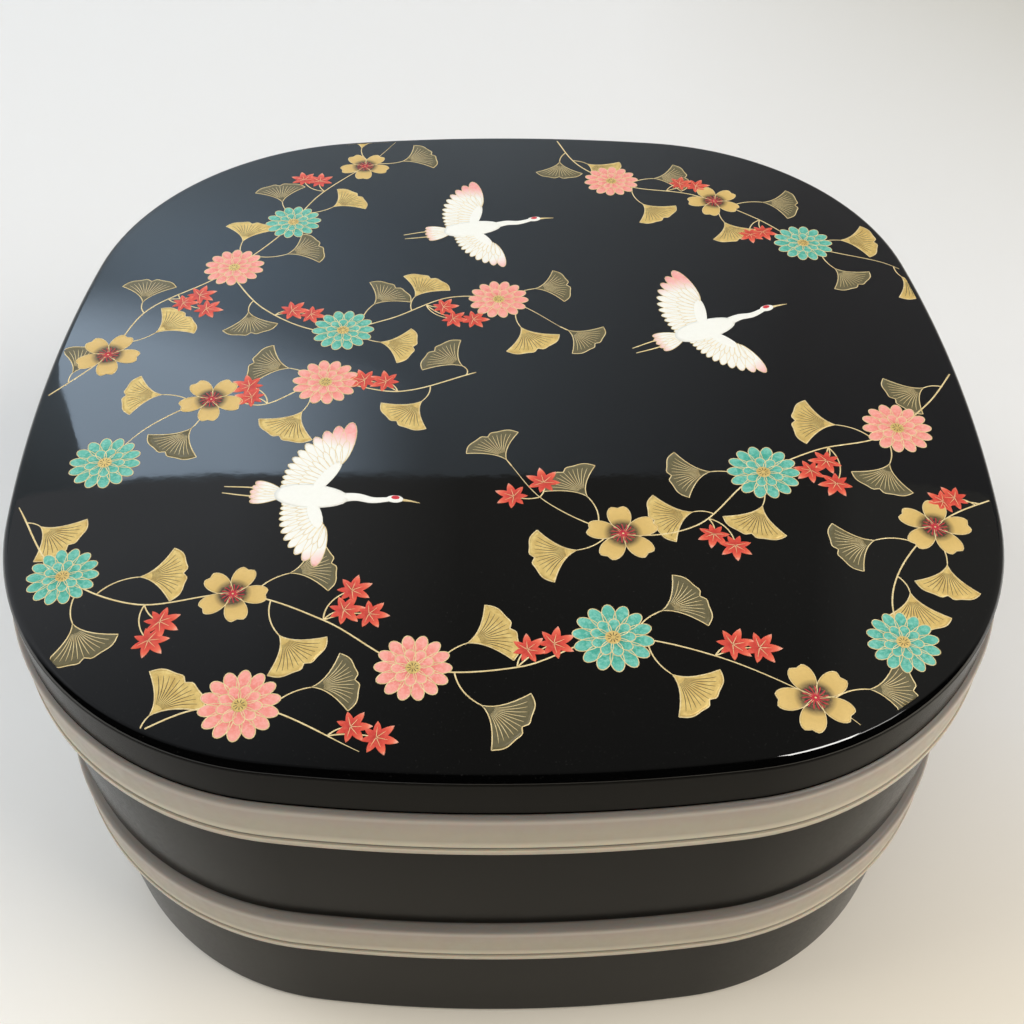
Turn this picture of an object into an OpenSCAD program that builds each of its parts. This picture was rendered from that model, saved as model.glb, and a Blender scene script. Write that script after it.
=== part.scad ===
// Two-tier stacking lacquer box with bowed sides: two tiers, a pliable seal lid on each, and a crowned outer lid.
// Every piece is one moulding. A wall's cross-section is drawn once, x outward from the rim's outer face and
// y upward, and is carried round the eight tangent arcs of the outline.

/* [Outline] */
// Width of each tier at its rim, between the crowns of two opposite sides
box_w = 196; // [175:1:230]
// Radius of the four bowed sides
side_radius = 332; // [300:1:400]
// Angle that each bowed side spans; the four corner arcs span the rest
side_arc = 14; // [13:0.2:15.4]

/* [Tiers] */
// Height of a tier, from the edge it stands on to its rim
tier_h = 43.7; // [36:0.1:70]
// Thickness of a tier's wall at the rim
tier_wall = 2.2; // [1.6:0.1:3]
// How far the outer face draws in from rim to foot
tier_draft = 0.8; // [0.3:0.1:1.6]
// How far the inner face draws in from rim to floor
cavity_draft = 1.4; // [1:0.1:2.4]
// Thickness of a tier's floor
floor_t = 2.2; // [1.6:0.1:3.5]
// Height of the foot, which is the wall below the floor
foot_h = 3.4; // [3.2:0.1:6]
// Thickness of the foot where it stands
foot_wall = 2.4; // [2:0.1:3]
// Radius of the cove between the wall and the floor
cove_radius = 6; // [3:0.5:12]
// Radius of the outer edge at the foot
foot_edge_radius = 1.2; // [0.4:0.1:1.6]
// Radius of the rim's two edges
rim_radius = 0.7; // [0.3:0.1:0.8]

/* [Seal lids] */
// Thickness of a seal lid's skin
seal_skin = 0.9; // [0.8:0.1:1.4]
// Height of the skirt outside the rim, from ledge to lip
skirt_h = 11.4; // [8:0.1:14]
// Gap between the rim and the channel that straddles it, each side
channel_gap = 0.15; // [0.1:0.05:0.3]
// Radius of the skirt's shoulder
skirt_shoulder_radius = 1.1; // [0.6:0.1:1.3]
// Height of the rolled lip at the skirt's foot
lip_h = 1.6; // [1:0.1:2.4]
// How far the lip stands out past the skirt
lip_out = 0.3; // [0.2:0.1:0.8]
// Width of the fine groove above the lip
groove_w = 0.5; // [0.3:0.1:0.8]
// Depth of the fine groove above the lip
groove_depth = 0.3; // [0.15:0.05:0.4]
// Depth of the sealing plug inside the rim, below the ledge
plug_depth = 7; // [4:0.5:9]
// Taper at the plug's tip, which leads it into the tier
plug_lead = 0.4; // [0.2:0.1:0.6]
// Height of the raised panel that the piece above fits over
panel_h = 2.6; // [1.6:0.1:2.8]
// Gap round the raised panel
panel_gap = 0.35; // [0.2:0.05:0.6]
// Radius of the raised panel's edge
panel_edge_radius = 1; // [0.6:0.1:1.2]

/* [Outer lid] */
// Height of the lid's side, from its lower edge to the shoulder's top
lid_side_h = 10.2; // [8:0.1:18]
// Thickness of the lid's side
lid_wall = 2.6; // [1.6:0.1:3]
// How far the lid's side draws in from its lower edge to the shoulder
lid_draft = 0.4; // [0.2:0.1:0.8]
// Thickness of the lid's top
lid_top_t = 2.4; // [1.6:0.1:3]
// Radius of the lid's shoulder
shoulder_radius = 1.3; // [0.8:0.1:2.2]
// Rise of the crown from the shoulder to the flat centre
crown_h = 1; // [0.4:0.1:2.5]
// Width of the crowned border
crown_w = 42; // [30:1:46]
// Radius of the lid's lower edges
lid_edge_radius = 0.5; // [0.2:0.1:0.8]
// Radius of the cove under the lid's top
lid_cove_radius = 2.5; // [1:0.1:4]

/* [Hidden] */

$fn = 240;
ROUND_STEPS = 4;     // chords in a small round of a cross-section
LIP_STEPS = 3;       // chords in a round of the skirt's lip
COVE_STEPS = 7;      // chords in a cove
CROWN_STEPS = 8;     // chords across the crowned border
SIDE_STEPS = 4;      // chords of a side arc, where a panel's outline lies inside solid material
CORNER_STEPS = 8;    // chords of a corner arc there

// The outline: each side arc is centred on an axis and each corner arc on a diagonal, tangent where they meet.
side_half_angle = side_arc / 2;
side_centre = box_w / 2 - side_radius;
radius_step = -side_centre / (cos(side_half_angle) - sin(side_half_angle));
corner_radius = side_radius - radius_step;
corner_centre = radius_step * sin(side_half_angle);

// How far a middle panel laps into the level border that is carried round with a wall.
panel_lap = corner_radius / 20;

// Heights of the stack: each tier's rim meets the underside of its seal lid's ledge.
floor_z = foot_h + floor_t;
ledge_rise = tier_h + seal_skin;
lower_ledge_z = ledge_rise;
upper_tier_z = lower_ledge_z;
upper_ledge_z = upper_tier_z + ledge_rise;
lid_z = upper_ledge_z;

// Places across the wall that pieces share.
skirt_face = channel_gap + seal_skin;
plug_face = -tier_wall - channel_gap;
rim_land = plug_depth - seal_skin + channel_gap;
foot_inner_face = -tier_draft - foot_wall;
panel_face = min(foot_inner_face, -lid_wall) - panel_gap;
shoulder_depth = lid_draft + shoulder_radius;

function arc(x, y, r, a0, a1, steps) =
    [for (i = [0 : steps]) let (a = a0 + (a1 - a0) * i / steps) [x + r * cos(a), y + r * sin(a)]];

// Points of the outline drawn in by an inset, for panels whose edge is buried in a border.
function outline_points(inset) = [
    for (quarter = [0 : 3])
    let (
        turn = 90 * quarter,
        side = arc(side_centre, 0, side_radius - inset, -side_half_angle, side_half_angle, SIDE_STEPS),
        corner = arc(corner_centre, corner_centre, corner_radius - inset,
                     side_half_angle, 90 - side_half_angle, CORNER_STEPS)
    )
    for (p = concat(side, [for (i = [1 : CORNER_STEPS - 1]) corner[i]]))
    [p[0] * cos(turn) - p[1] * sin(turn), p[0] * sin(turn) + p[1] * cos(turn)]
];

// Carries the cross-section given as a child once round the outline.
module around() {
    for (quarter = [0 : 3])
        rotate(90 * quarter) {
            translate([side_centre, 0])
                rotate_extrude(angle = side_arc, start = -side_half_angle)
                    translate([side_radius, 0])
                        children();
            translate([corner_centre, corner_centre])
                rotate_extrude(angle = 90 - side_arc, start = side_half_angle)
                    translate([corner_radius, 0])
                        children();
        }
}

// The flat middle that closes a ring whose border reaches in as far as border.
module middle_panel(border, z, thickness) {
    translate([0, 0, z])
        linear_extrude(height = thickness)
            polygon(outline_points(border - panel_lap));
}

// Wall, cove, floor border and foot of a tier. y is 0 where the tier stands.
// The inner face runs straight below the rim, where the seal lid's plug slides, and draws in from there.
module tier_profile(border) {
    cavity_foot = -tier_wall - cavity_draft;
    cove = min(cove_radius, tier_h - rim_land - floor_z);
    polygon(concat(
        [[foot_inner_face, 0]],
        arc(-tier_draft - foot_edge_radius, foot_edge_radius, foot_edge_radius, -90, 0, ROUND_STEPS),
        arc(-rim_radius, tier_h - rim_radius, rim_radius, 0, 90, ROUND_STEPS),
        arc(-tier_wall + rim_radius, tier_h - rim_radius, rim_radius, 90, 180, ROUND_STEPS),
        [[-tier_wall, tier_h - rim_land]],
        arc(cavity_foot - cove, floor_z + cove, cove, 0, -90, COVE_STEPS),
        [[-border, floor_z], [-border, foot_h], [foot_inner_face, foot_h]]
    ));
}

module tier() {
    border = tier_wall + cavity_draft + cove_radius + 2 * panel_lap;
    around() tier_profile(border);
    middle_panel(border, foot_h, floor_t);
}

// Skirt, ledge, plug and panel border of a seal lid. y is 0 on the ledge that carries the piece above.
// The rim of the tier sits in the channel between skirt and plug.
module seal_lid_profile(border) {
    lip_face = skirt_face + lip_out;
    lip_top = lip_h - skirt_h;
    lip_radius = lip_out / 2;
    plug_inner_face = plug_face - seal_skin;
    panel_inner_face = panel_face - seal_skin;
    panel_round = min(panel_edge_radius, panel_h - seal_skin / 2);
    polygon(concat(
        [[panel_face, 0]],
        arc(skirt_face - skirt_shoulder_radius, -skirt_shoulder_radius, skirt_shoulder_radius, 90, 0, ROUND_STEPS),
        [
            [skirt_face, lip_top + groove_w],
            [skirt_face - groove_depth, lip_top + groove_w / 2],
            [skirt_face, lip_top]
        ],
        arc(lip_face - lip_radius, lip_top - lip_radius, lip_radius, 90, 0, LIP_STEPS),
        arc(lip_face - lip_radius, lip_radius - skirt_h, lip_radius, 0, -90, LIP_STEPS),
        [
            [channel_gap, -skirt_h],
            [channel_gap, -seal_skin],
            [plug_face, -seal_skin],
            [plug_face, 2 * plug_lead - plug_depth],
            [plug_face - plug_lead, -plug_depth],
            [plug_inner_face, -plug_depth],
            [plug_inner_face, -seal_skin],
            [panel_inner_face, -seal_skin],
            [panel_inner_face, panel_h - seal_skin],
            [-border, panel_h - seal_skin],
            [-border, panel_h]
        ],
        arc(panel_face - panel_round, panel_h - panel_round, panel_round, 90, 0, ROUND_STEPS)
    ));
}

module seal_lid() {
    border = seal_skin - panel_face + 2 * panel_lap;
    around() seal_lid_profile(border);
    middle_panel(border, panel_h - seal_skin, seal_skin);
}

// Height of the crown above the shoulder, at a depth in from the lower edge's face: a parabola, level at the centre.
function crown_rise(depth) =
    let (left = (crown_w - depth) / (crown_w - shoulder_depth)) crown_h * (1 - left * left);

// Side, shoulder and crowned border of the outer lid. y is 0 at its lower edge.
module outer_lid_profile(border) {
    under_depth = lid_wall + lid_draft + lid_cove_radius;
    under_y = lid_side_h + crown_rise(under_depth) - lid_top_t;
    polygon(concat(
        arc(-lid_wall + lid_edge_radius, lid_edge_radius, lid_edge_radius, 180, 270, ROUND_STEPS),
        arc(-lid_edge_radius, lid_edge_radius, lid_edge_radius, -90, 0, ROUND_STEPS),
        arc(-shoulder_depth, lid_side_h - shoulder_radius, shoulder_radius, 0, 90, ROUND_STEPS),
        [for (i = [1 : CROWN_STEPS])
            let (depth = shoulder_depth + (crown_w - shoulder_depth) * i / CROWN_STEPS)
            [-depth, lid_side_h + crown_rise(depth)]],
        [[-border, lid_side_h + crown_h], [-border, lid_side_h + crown_h - lid_top_t]],
        [for (i = [CROWN_STEPS : -1 : 1])
            let (depth = under_depth + (crown_w - under_depth) * i / CROWN_STEPS)
            [-depth, lid_side_h + crown_rise(depth) - lid_top_t]],
        arc(-under_depth, under_y - lid_cove_radius, lid_cove_radius, 90, 0, ROUND_STEPS)
    ));
}

module crowned_lid() {
    border = crown_w + 2 * panel_lap;
    around() outer_lid_profile(border);
    middle_panel(border, lid_side_h + crown_h - lid_top_t, lid_top_t);
}

module lower_tier() {
    color("#2b2b29") tier();
}

module lower_seal_lid() {
    color("#b8b0a4") translate([0, 0, lower_ledge_z]) seal_lid();
}

module upper_tier() {
    color("#2b2b29") translate([0, 0, upper_tier_z]) tier();
}

module upper_seal_lid() {
    color("#b8b0a4") translate([0, 0, upper_ledge_z]) seal_lid();
}

module outer_lid() {
    color("#0b0b0d") translate([0, 0, lid_z]) crowned_lid();
}

lower_tier();
lower_seal_lid();
upper_tier();
upper_seal_lid();
outer_lid();
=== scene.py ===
"""Looks of a stacking lacquer box with bowed sides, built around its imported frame.

Every length is in metres, in the frame's own axes: +Z up, +Y to the back, the origin under the middle of the foot.
"""
import logging
import math
from dataclasses import dataclass, field
from enum import Enum

import bpy
import numpy as np
from mathutils import Matrix, Vector


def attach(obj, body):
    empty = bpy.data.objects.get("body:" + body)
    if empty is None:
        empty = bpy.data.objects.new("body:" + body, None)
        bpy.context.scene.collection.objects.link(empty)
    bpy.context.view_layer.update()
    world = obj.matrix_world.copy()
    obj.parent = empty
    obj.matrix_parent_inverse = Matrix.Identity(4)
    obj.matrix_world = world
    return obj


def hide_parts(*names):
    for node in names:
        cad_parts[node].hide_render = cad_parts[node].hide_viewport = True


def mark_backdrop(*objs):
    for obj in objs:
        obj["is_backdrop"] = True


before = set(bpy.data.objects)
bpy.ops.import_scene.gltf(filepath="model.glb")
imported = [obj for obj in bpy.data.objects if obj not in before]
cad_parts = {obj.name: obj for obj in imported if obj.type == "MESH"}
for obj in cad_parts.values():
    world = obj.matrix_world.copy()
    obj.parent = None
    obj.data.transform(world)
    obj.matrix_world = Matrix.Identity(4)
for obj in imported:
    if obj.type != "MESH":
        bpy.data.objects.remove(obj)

Array = np.ndarray
Colour = tuple[float, float, float]

log = logging.getLogger("lacquer_box")

MM = 0.001
QUARTER = math.pi / 2
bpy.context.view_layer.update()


# ---------------------------------------------------------------- plan and section


@dataclass(frozen=True)
class BowedOutline:
    """Plan of the box: four long side arcs and four corner arcs, tangent where they meet."""

    half_width: float = 98 * MM
    side_radius: float = 332 * MM
    side_arc: float = math.radians(14)

    @property
    def side_centre(self) -> float:
        """Place of a side arc's centre on its axis."""
        return self.half_width - self.side_radius

    @property
    def radius_step(self) -> float:
        """Distance between the centres of a side arc and its corner arc."""
        half = self.side_arc / 2
        return -self.side_centre / (math.cos(half) - math.sin(half))

    @property
    def corner_radius(self) -> float:
        """Radius of the four corner arcs."""
        return self.side_radius - self.radius_step

    @property
    def corner_centre(self) -> float:
        """Both coordinates of a corner arc's centre, which lies on a diagonal."""
        return self.radius_step * math.sin(self.side_arc / 2)

    def stations(self, per_side: int, per_corner: int) -> Array:
        """Normal angles round the whole outline, evenly spaced on each arc.

        Args:
            per_side: Steps along each side arc.
            per_corner: Steps along each corner arc.

        Returns:
            The angles, counterclockwise from the start of the side on +X.
        """
        half = self.side_arc / 2
        side = np.linspace(-half, half, per_side, endpoint=False)
        corner = np.linspace(half, QUARTER - half, per_corner, endpoint=False)
        quarter = np.concatenate([side, corner])
        return (quarter[None, :] + QUARTER * np.arange(4)[:, None]).ravel()

    def place(self, angle: Array, inset: Array) -> Array:
        """Points of the outline drawn in by an inset.

        An arc drawn in keeps its centre, so point = centre(angle) + (radius(angle) - inset) (cos angle, sin angle).
        Past the limit where a corner arc would vanish, the last good outline shrinks towards the middle instead.

        Args:
            angle: Normal angles, of any shape.
            inset: Insets, of a shape that goes with the angles.

        Returns:
            The points, with x and y on a last axis of 2.
        """
        angle, inset = np.broadcast_arrays(angle, inset)
        local = (angle + QUARTER / 2) % QUARTER - QUARTER / 2
        quarter = angle - local
        on_side = np.abs(local) <= self.side_arc / 2 + 1e-9
        radius = np.where(on_side, self.side_radius, self.corner_radius)
        cx = np.where(on_side, self.side_centre, self.corner_centre)
        cy = np.where(on_side, 0.0, np.sign(local) * self.corner_centre)
        limit = 0.85 * self.corner_radius
        kept = np.minimum(inset, limit)
        share = np.clip((self.half_width - inset) / (self.half_width - limit), 0, 1)
        u = (cx + (radius - kept) * np.cos(local)) * share
        v = (cy + (radius - kept) * np.sin(local)) * share
        c, s = np.cos(quarter), np.sin(quarter)
        return np.stack([u * c - v * s, u * s + v * c], axis=-1)

    def depth(self, points: Array) -> Array:
        """How far in from the outline each point lies: the radius of its arc less its distance from that arc's centre.

        Args:
            points: Points with x and y on the last axis.

        Returns:
            The depths, exact as far in as the corner arcs reach.
        """
        p = np.abs(points)
        u, v = np.max(p, axis=-1), np.min(p, axis=-1)
        side = self.side_radius - np.hypot(u - self.side_centre, v)
        corner = self.corner_radius - np.hypot(u - self.corner_centre, v - self.corner_centre)
        on_side = np.arctan2(v, u - self.side_centre) <= self.side_arc / 2
        return np.where(on_side | (u < self.corner_centre), side, corner)

    def held_in(self, points: Array, inset: float) -> Array:
        """Points drawn towards the middle where they lie nearer the outline than an inset, or beyond it.

        Each of three rounds shortens a point's distance from the middle by what its depth still lacks.

        Args:
            points: Points with x and y on the last axis.
            inset: The least depth.

        Returns:
            The points, all at least that deep.
        """
        for _ in range(3):
            short = np.maximum(inset - self.depth(points), 0)
            points = points * (1 - short / np.maximum(np.linalg.norm(points, axis=-1), inset))[..., None]
        return points


def rounded_path(corners: list[tuple[float, float, float]], steps: int = 6) -> Array:
    """A cross-section's line with its corners rounded.

    A corner P with radius r between unit directions a and b gets the arc whose centre is P + (a + b) r / (|a + b| sin h),
    with h half the angle between a and b. The arc's spokes are interpolated on the sphere, so they keep the length r.

    Args:
        corners: Points as (outward, up, radius) in millimetres; the radius is 0 for a sharp or an end point.
        steps: Chords in each rounding.

    Returns:
        The points as rows of (outward, up) in metres, without doubles.
    """
    data = np.array(corners, float) * MM
    p, r = data[:, :2], data[:, 2]
    before = np.vstack([p[:1] * 2 - p[1:2], p[:-1]]) - p
    after = np.vstack([p[1:], p[-1:] * 2 - p[-2:-1]]) - p
    a = before / np.linalg.norm(before, axis=1, keepdims=True)
    b = after / np.linalg.norm(after, axis=1, keepdims=True)
    cosine = np.clip((a * b).sum(1), -1 + 1e-9, 1 - 1e-9)
    half = np.arccos(cosine) / 2
    bisector = a + b
    bisector /= np.maximum(np.linalg.norm(bisector, axis=1, keepdims=True), 1e-12)
    centre = p + bisector * (r / np.sin(half))[:, None]
    run = (r / np.tan(half))[:, None]
    spoke_a, spoke_b = p + a * run - centre, p + b * run - centre
    sweep = math.pi - 2 * half
    t = np.linspace(0, 1, steps + 1)[None, :, None]
    w = np.maximum(sweep, 1e-9)[:, None, None]
    arc = (np.sin((1 - t) * w) * spoke_a[:, None] + np.sin(t * w) * spoke_b[:, None]) / np.sin(w)
    line = np.where((r > 0)[:, None, None], centre[:, None] + arc, p[:, None]).reshape(-1, 2)
    keep = np.concatenate([[True], np.linalg.norm(np.diff(line, axis=0), axis=1) > 1e-7])
    return line[keep]


def with_spans(line: Array, longest: float) -> Array:
    """Adds evenly spaced points to a line, so that no span is longer than a limit.

    Args:
        line: Points as rows.
        longest: The longest span allowed, in metres.

    Returns:
        The line with its own points kept and the new ones between them.
    """
    length = np.concatenate([[0], np.cumsum(np.linalg.norm(np.diff(line, axis=0), axis=1))])
    counts = np.maximum(np.ceil(np.diff(length) / longest).astype(int), 1)
    index = np.repeat(np.arange(len(counts)), counts)
    within = np.arange(counts.sum()) - np.repeat(np.cumsum(counts) - counts, counts)
    at = length[index] + np.diff(length)[index] * within / counts[index]
    at = np.append(at, length[-1])
    return np.stack([np.interp(at, length, line[:, 0]), np.interp(at, length, line[:, 1])], axis=1)


# ---------------------------------------------------------------- meshes


@dataclass
class Surface:
    """Vertices, faces and whatever is known at each vertex, gathered before they become a mesh."""

    points: Array
    quads: Array = field(default_factory=lambda: np.zeros((0, 4), int))
    triangles: Array = field(default_factory=lambda: np.zeros((0, 3), int))
    normals: Array | None = None
    values: dict[str, Array] = field(default_factory=dict)
    quad_slots: Array | None = None

    @staticmethod
    def joined(parts: list["Surface"]) -> "Surface":
        """All the parts as one surface, each part's faces counted on from the one before."""
        start = np.concatenate([[0], np.cumsum([len(p.points) for p in parts])[:-1]]).astype(int)
        names = parts[0].values.keys()
        return Surface(
            np.vstack([p.points for p in parts]),
            np.vstack([p.quads + s for p, s in zip(parts, start)]),
            np.vstack([p.triangles + s for p, s in zip(parts, start)]),
            None if parts[0].normals is None else np.vstack([p.normals for p in parts]),
            {n: np.concatenate([p.values[n] for p in parts]) for n in names},
        )

    def volume(self) -> float:
        """Signed volume inside the faces: a sixth of the sum of a . (b x c) over triangles."""
        tris = np.vstack([self.triangles, self.quads[:, [0, 1, 2]], self.quads[:, [0, 2, 3]]])
        a, b, c = (self.points[tris[:, i]] for i in range(3))
        return float((a * np.cross(b, c)).sum() / 6)

    def turned_outwards(self) -> "Surface":
        """The surface with its faces wound so that the volume inside is positive."""
        if self.volume() < 0:
            self.quads, self.triangles = self.quads[:, ::-1].copy(), self.triangles[:, ::-1].copy()
        return self

    def to_object(self, name: str, finishes: list[bpy.types.Material]) -> bpy.types.Object:
        """Makes the mesh object, smooth, with its materials.

        Args:
            name: Name of the object and its mesh.
            finishes: The materials, in the order of the face slots.

        Returns:
            The new object, at the origin.
        """
        quads, tris = self.quads, self.triangles
        mesh = bpy.data.meshes.new(name)
        mesh.vertices.add(len(self.points))
        mesh.vertices.foreach_set("co", self.points.astype(np.float32).ravel())
        corners = np.concatenate([quads.ravel(), tris.ravel()]).astype(np.int32)
        sizes = np.concatenate([np.full(len(quads), 4), np.full(len(tris), 3)])
        starts = np.concatenate([[0], np.cumsum(sizes)[:-1]]).astype(np.int32)
        mesh.loops.add(len(corners))
        mesh.loops.foreach_set("vertex_index", corners)
        mesh.polygons.add(len(sizes))
        mesh.polygons.foreach_set("loop_start", starts)
        if self.quad_slots is not None:
            slots = np.concatenate([self.quad_slots, np.zeros(len(tris), int)]).astype(np.int32)
            mesh.polygons.foreach_set("material_index", slots)
        for key, value in self.values.items():
            mesh.attributes.new(key, "FLOAT", "POINT").data.foreach_set("value", value.astype(np.float32))
        mesh.update(calc_edges=True)
        mesh.shade_smooth()
        if self.normals is not None:
            mesh.normals_split_custom_set_from_vertices(self.normals.astype(np.float32).tolist())
        mesh.validate()
        for finish in finishes:
            mesh.materials.append(finish)
        made = bpy.data.objects.new(name, mesh)
        bpy.context.scene.collection.objects.link(made)
        log.info("%s: %d vertices, %d faces", name, len(mesh.vertices), len(mesh.polygons))
        return made


def carried_shell(outline: BowedOutline, line: Array, height: float, slot_of: Array | None = None) -> Surface:
    """Carries a cross-section round the outline and closes it over the middle.

    Vertex (i, k) is the outline's point at station i drawn in by -line[k, 0], at height line[k, 1]. The line starts and
    ends on the box's axis, so each of its ends is one vertex, joined to the next ring by a fan. A vertex's normal is the
    line's own normal there, turned to the station's angle; the spans beside a point count by their length.

    Args:
        outline: The plan.
        line: The cross-section as (outward, up), in order, with its first and last point on the axis.
        height: How far up the whole shell is set.
        slot_of: The material slot of each span between two rings, or None for one material.

    Returns:
        A closed surface with its faces outwards.
    """
    angle = outline.stations(26, 30)
    rings = line[1:-1]
    plan = outline.place(angle[:, None], -rings[None, :, 0])
    n, k = len(angle), len(rings)
    up = np.broadcast_to(rings[None, :, 1] + height, (n, k))
    grid = np.concatenate([plan, up[..., None]], axis=-1)
    span = np.diff(line, axis=0)
    across = np.stack([-span[:, 1], span[:, 0]], axis=1)
    blend = across[:-1] + across[1:]
    blend /= np.linalg.norm(blend, axis=1, keepdims=True)
    normal = np.stack([blend[None, :, 0] * np.cos(angle)[:, None], blend[None, :, 0] * np.sin(angle)[:, None],
                       np.broadcast_to(blend[None, :, 1], (n, k))], axis=-1)
    ends = np.array([[0, 0, line[0, 1] + height], [0, 0, line[-1, 1] + height]])
    i, j = np.meshgrid(np.arange(n), np.arange(k - 1), indexing="ij")
    nxt = (i + 1) % n
    quads = np.stack([i * k + j, nxt * k + j, nxt * k + j + 1, i * k + j + 1], axis=-1).reshape(-1, 4)
    first = np.stack([np.full(n, n * k), np.roll(np.arange(n), -1) * k, np.arange(n) * k], axis=1)
    last = np.stack([np.full(n, n * k + 1), np.arange(n) * k + k - 1, np.roll(np.arange(n), -1) * k + k - 1], axis=1)
    shell = Surface(
        np.vstack([grid.reshape(-1, 3), ends]), quads, np.vstack([first, last]),
        np.vstack([normal.reshape(-1, 3), [[0, 0, across[0, 1]], [0, 0, across[-1, 1]]]]),
        {"level": np.concatenate([np.tile(rings[:, 1], n), line[[0, -1], 1]]) / MM},
        None if slot_of is None else np.tile(slot_of[1:-1], n),
    )
    return shell.turned_outwards()


# ---------------------------------------------------------------- finishes


class Nodes:
    """A node tree, with short ways to add and join nodes."""

    def __init__(self, owner: bpy.types.Material | bpy.types.World) -> None:
        """Opens the node tree of a material or a world."""
        owner.use_nodes = True
        self.tree = owner.node_tree

    def add(self, kind: str, **settings: object) -> bpy.types.Node:
        """Adds a node. Settings name the node's own properties."""
        node = self.tree.nodes.new(kind)
        for key, value in settings.items():
            setattr(node, key, value)
        return node

    def join(self, start: bpy.types.NodeSocket, end: bpy.types.NodeSocket) -> None:
        """Links one socket to another."""
        self.tree.links.new(start, end)

    def axes(self, way: bpy.types.NodeSocket) -> list[bpy.types.NodeSocket]:
        """The x, y and z of a vector."""
        node = self.add("ShaderNodeSeparateXYZ")
        self.join(way, node.inputs["Vector"])
        return list(node.outputs)

    def math(self, kind: str, first: bpy.types.NodeSocket, second: bpy.types.NodeSocket) -> bpy.types.NodeSocket:
        """Joins two values by an operation, such as ADD or MULTIPLY."""
        node = self.add("ShaderNodeMath", operation=kind)
        self.join(first, node.inputs[0])
        self.join(second, node.inputs[1])
        return node.outputs[0]

    def ranged(self, value: bpy.types.NodeSocket, low: float, high: float, to_low: float, to_high: float):
        """Maps a value's range to another, clamped at both ends.

        Args:
            value: The value.
            low: The lower end of its range.
            high: The upper end of its range.
            to_low: What the lower end becomes.
            to_high: What the upper end becomes.

        Returns:
            The mapped value.
        """
        node = self.add("ShaderNodeMapRange")
        for socket, number in zip(("From Min", "From Max", "To Min", "To Max"), (low, high, to_low, to_high)):
            node.inputs[socket].default_value = number
        self.join(value, node.inputs["Value"])
        return node.outputs["Result"]

    def mix(self, share, low: bpy.types.NodeSocket | Colour, high: bpy.types.NodeSocket | Colour):
        """Blends two colours.

        Args:
            share: How much of the second, as a value or a number.
            low: The first colour.
            high: The second colour.

        Returns:
            The blended colour.
        """
        node = self.add("ShaderNodeMix", data_type="RGBA")
        for socket, given in ((node.inputs[0], share), (node.inputs[6], low), (node.inputs[7], high)):
            if isinstance(given, bpy.types.NodeSocket):
                self.join(given, socket)
            else:
                socket.default_value = (*given, 1) if isinstance(given, tuple) else given
        return node.outputs[2]


class Shader(Nodes):
    """A material with one principled surface."""

    def __init__(self, name: str) -> None:
        """Starts the material.

        Args:
            name: The material's name.
        """
        self.material = bpy.data.materials.new(name)
        super().__init__(self.material)
        self.surface = self.tree.nodes["Principled BSDF"]
        self.place = self.add("ShaderNodeTexCoord").outputs["Object"]

    def set(self, **sockets: object) -> None:
        """Sets the surface's sockets by name, with spaces written as underscores."""
        for key, value in sockets.items():
            self.surface.inputs[key.replace("_", " ")].default_value = value

    def noise(self, scale: float, detail: float = 2, roughness: float = 0.5) -> bpy.types.NodeSocket:
        """A noise over the object's place.

        Args:
            scale: Blotches in a metre.
            detail: Octaves.
            roughness: Weight of the finer octaves.

        Returns:
            The noise's value.
        """
        node = self.add("ShaderNodeTexNoise")
        node.inputs["Scale"].default_value = scale
        node.inputs["Detail"].default_value = detail
        node.inputs["Roughness"].default_value = roughness
        self.join(self.place, node.inputs["Vector"])
        return node.outputs["Fac"]

    def attribute(self, name: str) -> bpy.types.NodeSocket:
        """The value stored at the vertices under a name."""
        return self.add("ShaderNodeAttribute", attribute_name=name).outputs["Fac"]

    def ramp(self, value: bpy.types.NodeSocket, stops: list[tuple[float, Colour]]) -> bpy.types.NodeSocket:
        """A colour for each value, blended between stops.

        Args:
            value: The value, from 0 to 1.
            stops: The places and colours.

        Returns:
            The colour.
        """
        node = self.add("ShaderNodeValToRGB")
        band = node.color_ramp
        while len(band.elements) < len(stops):
            band.elements.new(0.5)
        for element, (at, colour) in zip(band.elements, stops):
            element.position, element.color = at, (*colour, 1)
        self.join(value, node.inputs["Fac"])
        return node.outputs["Color"]

    def bump(self, height: bpy.types.NodeSocket, strength: float, distance: float) -> None:
        """Roughens the surface by a height pattern.

        Args:
            height: The pattern.
            strength: How much of it shows.
            distance: How high it stands, in metres.
        """
        node = self.add("ShaderNodeBump")
        node.inputs["Strength"].default_value = strength
        node.inputs["Distance"].default_value = distance
        self.join(height, node.inputs["Height"])
        self.join(node.outputs["Normal"], self.surface.inputs["Normal"])


@dataclass(frozen=True)
class GlossLacquer:
    """Deep black lacquer with a mirror gloss, faint waves and a little dust under the coat."""

    name: str = "gloss_lacquer"
    colour: Colour = (0.0008, 0.0008, 0.0008)
    dust: Colour = (0.02, 0.0195, 0.018)
    roughness: float = 0.028

    def build(self) -> bpy.types.Material:
        """The material."""
        s = Shader(self.name)
        speck = s.ranged(s.noise(2600, 2, 0.7), 0.66, 0.78, 0, 1)
        s.join(s.mix(speck, self.colour, self.dust), s.surface.inputs["Base Color"])
        s.join(s.ranged(s.noise(70, 3), 0.3, 0.7, self.roughness * 0.8, self.roughness * 1.5), s.surface.inputs["Roughness"])
        s.set(IOR=1.5)
        s.bump(s.noise(120, 4, 0.55), 0.05, 0.00014)
        return s.material


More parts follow.
